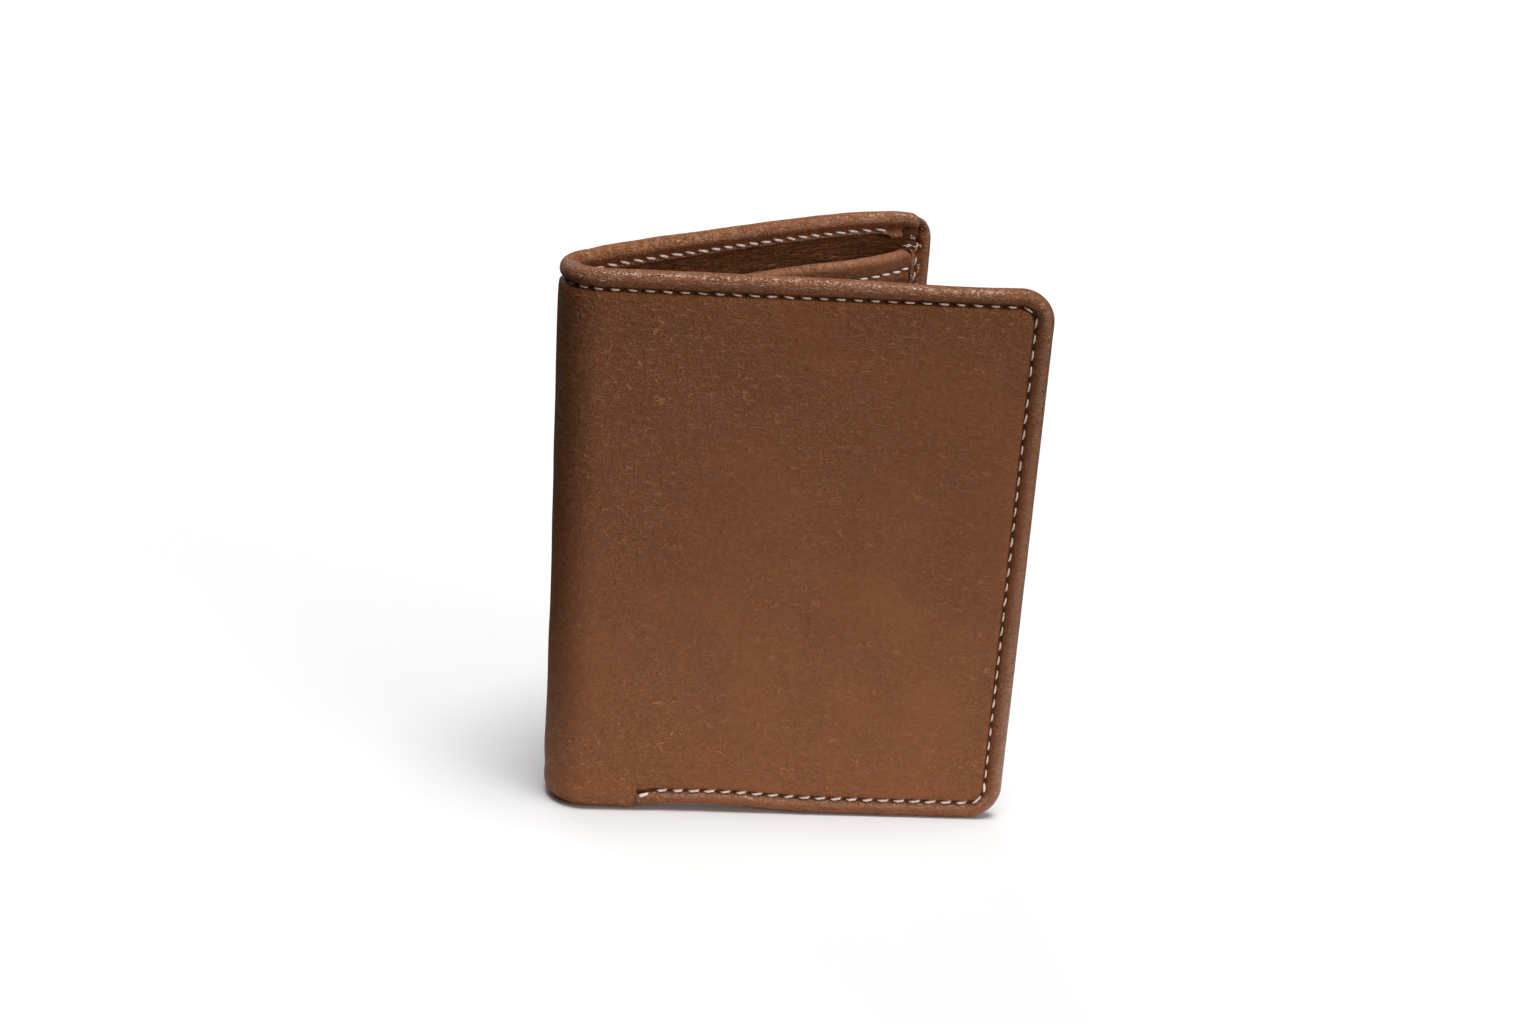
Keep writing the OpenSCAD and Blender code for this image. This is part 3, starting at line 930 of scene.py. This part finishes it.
class Stitches:
    """Short twisted lengths of thread, each a closed mesh, laid on the plan."""

    RINGS = 11
    SIDES = 8

    def __init__(self):
        self.flat, self.faces, self.count = [], [], 0
        self.rng = np.random.default_rng(21)

    def add(self, s, z, v, heading, length, radius, dive, inwards):
        """heading is in the plan, in radians; dive is how far the two ends sink;
        inwards is 1 on the outside of the leather and -1 on the inside."""
        heading += self.rng.normal(0, 0.05)
        length *= 1 + self.rng.normal(0, 0.05)
        radius *= 1 + self.rng.normal(0, 0.06)
        x = np.linspace(-1, 1, self.RINGS)
        fat = radius * np.sqrt(np.clip(1 - x ** 4, 0.03, 1))
        phi = 2 * math.pi * np.arange(self.SIDES) / self.SIDES
        along, angle = np.meshgrid(x * length / 2, phi, indexing="ij")
        ply = 1 + 0.16 * np.cos(2 * angle - 2 * math.pi * along / 1.1)
        across = fat[:, None] * np.cos(angle) * ply
        up = fat[:, None] * np.sin(angle) * ply
        depth = v + inwards * (dive * (x ** 4)[:, None] - up)
        ps = s + along * math.cos(heading) - across * math.sin(heading)
        pz = z + along * math.sin(heading) + across * math.cos(heading)
        self.flat.append(np.stack([ps, pz, depth], -1).reshape(-1, 3))
        start = self.count * self.RINGS * self.SIDES
        faces = grid_faces(self.RINGS, self.SIDES, closed=True, start=start).tolist()
        last = start + (self.RINGS - 1) * self.SIDES
        faces += [list(range(start, start + self.SIDES)),
                  list(range(last, last + self.SIDES))[::-1]]
        flip = inwards < 0
        self.faces += [f[::-1] for f in faces] if flip else faces
        self.count += 1

    def data(self):
        return np.concatenate(self.flat), self.faces


def seam_path():
    """Each stitch's place and heading, from the front half's step round to the rear's."""
    arc = CORNER_R - SEAM_D
    foot, head = CORNER_R, HEIGHT - CORNER_R
    quarter = arc * math.pi / 2
    legs = [
        ("line", (BEND + SEAM_START, SEAM_D), 0.0, HIGH - BEND - SEAM_START),
        ("arc", (HIGH, foot), -math.pi / 2, quarter),
        ("line", (BEND + WIDTH - SEAM_D, foot), math.pi / 2, head - foot),
        ("arc", (HIGH, head), 0.0, quarter),
        ("line", (HIGH, HEIGHT - SEAM_D), math.pi, HIGH - LOW),
        ("arc", (LOW, head), math.pi / 2, quarter),
        ("line", (-WIDTH + SEAM_D, head), -math.pi / 2, head - foot),
        ("arc", (LOW, foot), math.pi, quarter),
        ("line", (LOW, SEAM_D), 0.0, -SEAM_START - LOW),
    ]
    done = 0.0
    t = PITCH / 2
    for kind, (x, y), heading, length in legs:
        while t < done + length:
            along = t - done
            if kind == "line":
                yield (x + along * math.cos(heading), y + along * math.sin(heading),
                       heading)
            else:
                angle = heading + along / arc
                yield (x + arc * math.cos(angle), y + arc * math.sin(angle),
                       angle + math.pi / 2)
            t += PITCH
        done += length


def fray(seam):
    """Loose fibres and thread ends at the open rear corner."""
    rng = seam.rng
    depth = INNER_THREAD_V + 0.1
    # Each bunch's middle, heading, number of fibres, and spread along s and z.
    bunches = [
        (-84.6, HEIGHT - 7.4, 0.1, 16, 2.4, 0.25),
        (-84.0, HEIGHT - 5.4, 0.9, 5, 0.4, 0.4),
        (-86.0, HEIGHT - 13.0, 1.5, 16, 0.25, 4.0),
        (-TIP_U, HEIGHT - 5.3, -0.4, 6, 0.8, 0.3),
    ]
    for s, z, heading, count, wide, high in bunches:
        for _ in range(count):
            seam.add(s + rng.uniform(-wide, wide), z + rng.normal(0, high / 2), depth,
                     heading + rng.normal(0, 0.5), rng.uniform(0.4, 1.0), 0.08, 0.1, -1.0)


def outside_stitch(seam, s, z, heading, low):
    """The bottom seam's thread is thicker, and the stitch beside the step hangs lower."""
    if low and spine_distance(s) < STEP_U + PITCH:
        seam.add(s - 0.5, z - 0.8, 0.0, heading + 0.3, 2.1, 0.42, 0.3, 1.0)
    elif low:
        seam.add(s, z, OUTER_THREAD_V, heading + 0.14, 2.4, 0.32, 0.4, 1.0)
    else:
        seam.add(s, z, OUTER_THREAD_V, heading - 0.09, 2.1, 0.2, 0.4, 1.0)


def inside_stitch(seam, s, z, heading):
    """The same stitch seen from inside, left out where the rear corner is open."""
    if s < -WIDTH + 11 and z > HEIGHT - 7:
        return
    on_rear_side = s < -WIDTH + 5
    length, radius = (2.0, 0.2) if on_rear_side else (2.7, 0.3)
    tilt = 0.22 if s < 0 else 0.05
    seam.add(s, z, INNER_THREAD_V, heading + tilt, length, radius, 0.3, -1.0)


def edge_seam():
    seam = Stitches()
    for s, z, heading in seam_path():
        low = z < 2 * SEAM_D
        z += float(hem_lift(s, z))
        outside_stitch(seam, s, z, heading, low)
        inside_stitch(seam, s, z, heading)
    fray(seam)
    flat, faces = seam.data()
    bending("seam_stitches", "thread", flat, place(*flat.T), faces, THREAD)


def facing_seam(side, start):
    seam = Stitches()
    u = start + 4.6
    while u < PANEL_END - 1.5:
        depth = float(panel_depth(side, np.array(u), PANEL_TOP)) + 0.98
        seam.add(side_s(side, u), PANEL_TOP - FACING_SEAM, depth, 0.08, 2.5, 0.27, 0.25,
                 -1.0)
        u += PITCH
    flat, faces = seam.data()
    piece = new_mesh(f"{side}_facing_stitches", place(*flat.T, False), faces, flat,
                     THREAD)
    ridden(piece, f"{side}_half", f"{side}_facing_thread")


edge_seam()
facing_seam("rear", REAR_START)
facing_seam("front", FRONT_START)


# ---------------------------------------------------------------------------
# Floor, light and camera
# ---------------------------------------------------------------------------
FLOOR_GREY = 0.86
SHEET_CENTRE = (-0.01, -0.05, 0.0)
SHEET_WHITE_TO, SHEET_DARK_FROM = 0.06, 0.16
SHEET_DARK = 0.04


def floor():
    """The camera sees plain pale grey. All other rays see a white sheet round the
    wallet that fades to dark, as if it stood on paper in a dark studio."""
    bpy.ops.mesh.primitive_plane_add(size=6.0, location=(0, 0, 0))
    plane = bpy.context.active_object
    plane.name = "floor"
    sh = Shader("pale_floor")
    where = sh.add("NewGeometry").outputs["Position"]
    away = sh.add(
        "VectorMath", {0: where, 1: SHEET_CENTRE}, operation="DISTANCE"
    ).outputs["Value"]
    sheet = sh.span(away, SHEET_WHITE_TO, SHEET_DARK_FROM, 1.0, SHEET_DARK)
    seen = sh.add("LightPath").outputs["Is Camera Ray"]
    grey = (FLOOR_GREY, FLOOR_GREY, FLOOR_GREY, 1)
    sh.put(sh.bsdf.inputs["Base Color"], sh.mix(seen, sheet, grey))
    sh.put(sh.bsdf.inputs["Roughness"], 0.9)
    sh.put(sh.bsdf.inputs["Specular IOR Level"], 0.1)
    plane.data.materials.append(sh.mat)
    plane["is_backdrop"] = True


def aimed(direction):
    """Rotation of a light that shines along a direction."""
    return Vector(direction).to_track_quat("-Z", "Y").to_euler()


def from_angles(azimuth, elevation):
    """The direction towards a light, from angles in degrees."""
    a, e = math.radians(azimuth), math.radians(elevation)
    return Vector((math.cos(a) * math.cos(e), math.sin(a) * math.cos(e), math.sin(e)))


def sun(name, azimuth, elevation, strength, spread):
    """A light that stands at these angles; spread is its width, in degrees."""
    data = bpy.data.lights.new(name, "SUN")
    data.energy = strength
    data.angle = math.radians(spread)
    obj = bpy.data.objects.new(name, data)
    obj.rotation_euler = aimed(-from_angles(azimuth, elevation))
    bpy.context.scene.collection.objects.link(obj)


def world(strength):
    """White to the camera; everything else sees it at the given strength."""
    w = bpy.data.worlds.new("studio")
    bpy.context.scene.world = w
    w.use_nodes = True
    nodes, links = w.node_tree.nodes, w.node_tree.links
    back = nodes["Background"]
    back.inputs["Color"].default_value = (1, 1, 1, 1)
    path = nodes.new("ShaderNodeLightPath")
    level = nodes.new("ShaderNodeMapRange")
    level.inputs["To Min"].default_value = strength
    level.inputs["To Max"].default_value = 1.0
    links.new(path.outputs["Is Camera Ray"], level.inputs["Value"])
    links.new(level.outputs[0], back.inputs["Strength"])


# The photograph's view: a camera in front of the wallet and to its left, looking
# down. The place is in metres, the angles are in degrees and the lens in millimetres.
CAMERA_AT = (-0.26569, -0.35176, 0.24309)
CAMERA_HEADING, CAMERA_TILT, CAMERA_ROLL = 35.745, 21.9, 3.9
CAMERA_LENS = 52.98


def camera():
    heading, tilt = math.radians(CAMERA_HEADING), math.radians(CAMERA_TILT)
    roll = math.radians(CAMERA_ROLL)
    forward = Vector((math.sin(heading) * math.cos(tilt),
                      math.cos(heading) * math.cos(tilt), -math.sin(tilt)))
    level = Vector((math.cos(heading), -math.sin(heading), 0))
    upright = level.cross(forward)
    right = level * math.cos(roll) + upright * math.sin(roll)
    up = upright * math.cos(roll) - level * math.sin(roll)
    data = bpy.data.cameras.new("camera")
    data.lens = CAMERA_LENS
    data.sensor_width = 36.0
    data.clip_start = 0.01
    obj = bpy.data.objects.new("camera", data)
    turn = Matrix((right, up, -forward)).transposed().to_4x4()
    obj.matrix_world = Matrix.Translation(Vector(CAMERA_AT)) @ turn
    bpy.context.scene.collection.objects.link(obj)
    bpy.context.scene.camera = obj


floor()
world(0.01)
sun("key", 322, 54, 0.5, 45)
sun("front", 292, 16, 1.05, 35)
sun("overhead", 278, 83, 2.9, 30)
sun("back", 80, 30, 0.6, 40)
camera()
bpy.context.scene.view_settings.view_transform = "Standard"

boxes = {"cad": cad_box, "visual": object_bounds()}
{k: [list(p) for p in b] for k, b in boxes.items()}
